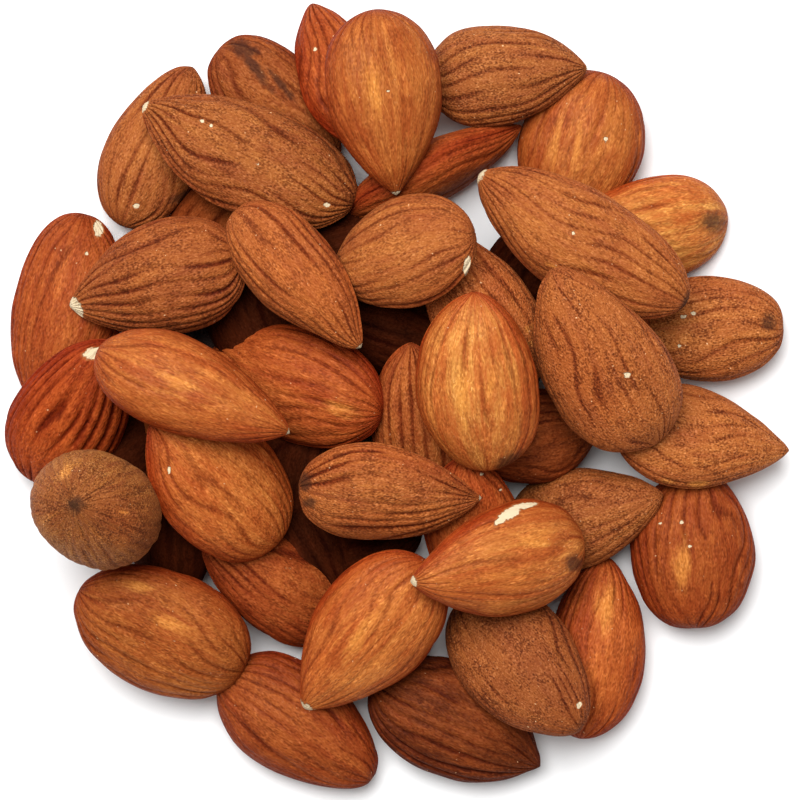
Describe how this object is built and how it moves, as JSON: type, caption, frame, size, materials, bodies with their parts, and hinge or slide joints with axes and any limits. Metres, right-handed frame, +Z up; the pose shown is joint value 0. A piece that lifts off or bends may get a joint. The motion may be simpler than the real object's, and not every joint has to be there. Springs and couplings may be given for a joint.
{
  "type": "heap of almonds",
  "caption": "Loose round heap of whole almond kernels in their brown skins, lying on a flat surface with no bowl.",
  "frame": {"origin": "on the surface that the heap lies on, under the middle of the heap's outline", "axes": "+Z up, away from the surface; +X to the right and +Y away from the viewer in the view from above"},
  "size_m": [0.093, 0.0938, 0.0241],
  "materials": {
    "almond_skin": "dry, furrowed brown seed coat, from dull and dusty to faintly waxy",
    "almond_flesh": "matt cream-white flesh where the skin is chipped off"
  },
  "bodies": {
    "root": {"almond_heap": "almond_skin"}
  },
  "joints": []
}
